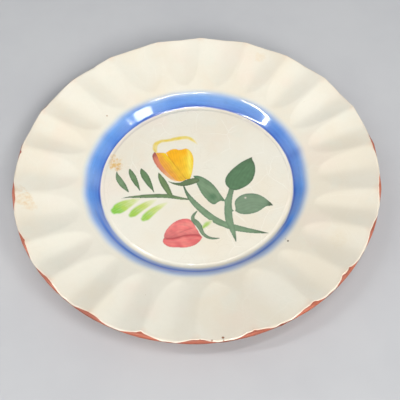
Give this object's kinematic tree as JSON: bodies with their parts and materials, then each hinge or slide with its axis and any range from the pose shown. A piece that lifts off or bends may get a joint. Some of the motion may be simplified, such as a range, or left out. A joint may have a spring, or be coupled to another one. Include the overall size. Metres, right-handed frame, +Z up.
{
  "type": "fluted ceramic plate",
  "caption": "Round earthenware plate with a fluted rim, raised foot ring, cream glaze, a blue band round the well and a painted flower spray.",
  "frame": {"origin": "centre of the foot ring, on the surface that it stands on", "axes": "+Z up along the plate's axis, +Y from the bud towards the tulip, +X towards the two leaves on the right"},
  "size_m": [0.254, 0.254, 0.0282],
  "materials": {
    "red_clay": "matte, fired red earthenware",
    "cream_glaze": "glossy cream glaze, finely crazed",
    "blue_paint": "glossy, brushed on with soft edges",
    "yellow_paint": "glossy",
    "orange_paint": "glossy",
    "coral_paint": "glossy",
    "lemon_paint": "glossy, thin wash",
    "dark_green_paint": "glossy",
    "green_paint": "glossy",
    "light_green_paint": "glossy, thin wash",
    "red_paint": "glossy"
  },
  "bodies": {
    "root": {"clay_body": "red_clay", "cream_glaze": "cream_glaze", "blue_band": "blue_paint", "tulip_middle_petal": "yellow_paint", "tulip_left_petal": "orange_paint", "tulip_side_petal": "coral_paint", "tulip_crown_line": "lemon_paint", "tulip_cup": "dark_green_paint", "main_stem": "green_paint", "branch_stem": "green_paint", "upper_leaf": "dark_green_paint", "right_leaf": "green_paint", "middle_leaf": "green_paint", "fern_stem": "dark_green_paint", "fern_leaflet_1": "dark_green_paint", "fern_leaflet_2": "dark_green_paint", "fern_leaflet_3": "dark_green_paint", "fern_leaflet_4": "dark_green_paint", "pale_leaflet_1": "light_green_paint", "pale_leaflet_2": "light_green_paint", "pale_leaflet_3": "light_green_paint", "bud_upper_petal": "red_paint", "bud_lower_petal": "red_paint", "bud_calyx": "dark_green_paint", "bud_sprig": "light_green_paint"}
  },
  "joints": []
}
